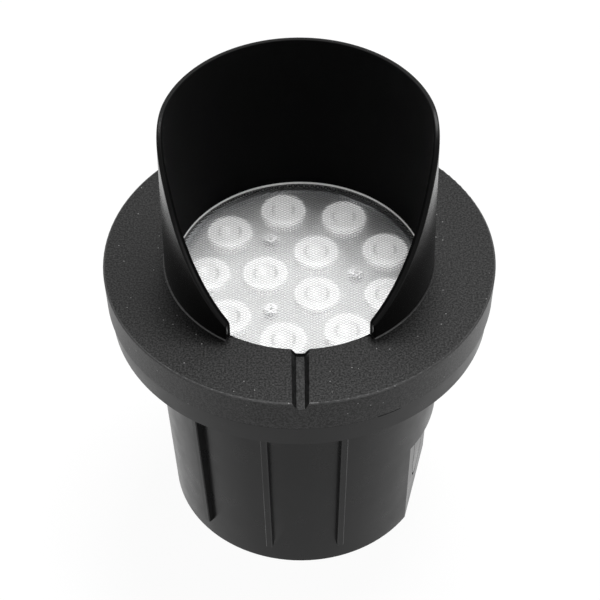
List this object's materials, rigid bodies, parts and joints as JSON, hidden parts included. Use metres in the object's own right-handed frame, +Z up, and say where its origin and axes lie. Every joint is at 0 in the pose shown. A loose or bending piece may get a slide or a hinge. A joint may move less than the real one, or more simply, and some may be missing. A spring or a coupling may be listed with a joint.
{
  "type": "in-ground well light",
  "caption": "Buried uplight with a tapered ribbed sleeve, a round cover with a slant-cut glare cowl and drain groove, and a sealed LED lamp under a patterned glass lens that lifts and turns.",
  "frame": {"origin": "centre of the flat underside of the sleeve, on the lamp's axis", "axes": "+Z up along the lamp's axis; the cowl opens and the drain groove runs towards -Y; +X to the right seen from the open side"},
  "size_m": [0.165, 0.1649, 0.208],
  "materials": {
    "sleeve_polymer": "satin moulded black",
    "cover_coat": "fine-textured black powder coat",
    "seal_rubber": "smooth",
    "gasket_silicone": "smooth pale silicone",
    "lens_glass": "prismatic honeycomb pattern",
    "cast_aluminium": "as cast",
    "dark_aluminium": "black anodised",
    "pad_silicone": "soft grey silicone",
    "white_mask": "white solder mask",
    "phosphor": "moulded",
    "clear_optic": "polished",
    "white_moulding": "moulded",
    "screw_steel": "machined",
    "lead_sheath": "extruded",
    "board_laminate": "green solder mask",
    "capacitor_can": "drawn can",
    "ferrite": "sintered",
    "chip_epoxy": "moulded",
    "terminal_moulding": "moulded",
    "gland_nylon": "moulded black nylon"
  },
  "bodies": {
    "sleeve": {"sleeve": "sleeve_polymer"},
    "seal": {"mouth_seal": "seal_rubber"},
    "head": {"cover": "cover_coat", "lens_gasket": "gasket_silicone", "lens": "lens_glass", "lens_seal": "seal_rubber", "lamp_housing": "cast_aluminium", "retaining_ring": "dark_aluminium", "thermal_pad": "pad_silicone", "led_board": "white_mask", "led_emitters": "phosphor", "optics": "clear_optic", "optic_holders": "white_moulding", "board_screws": "screw_steel", "driver_leads": "lead_sheath", "driver_board": "board_laminate", "driver_screws": "screw_steel", "driver_capacitors": "capacitor_can", "driver_choke": "ferrite", "driver_chips": "chip_epoxy", "supply_terminal": "terminal_moulding", "rear_cap": "cast_aluminium", "rear_cap_seal": "seal_rubber", "rear_cap_screws": "screw_steel", "gland_body": "gland_nylon", "gland_locknut": "gland_nylon", "gland_bush": "seal_rubber", "gland_nut": "gland_nylon"}
  },
  "joints": [
    {"name": "head_lift", "type": "slide", "parent": "sleeve", "child": "seal", "axis": [0, 0, 1], "range_m": [0, 0.09]},
    {"name": "head_turn", "type": "hinge", "parent": "seal", "child": "head", "pos_m": [0, 0, 0.112], "axis": [0, 0, 1], "continuous": true}
  ]
}
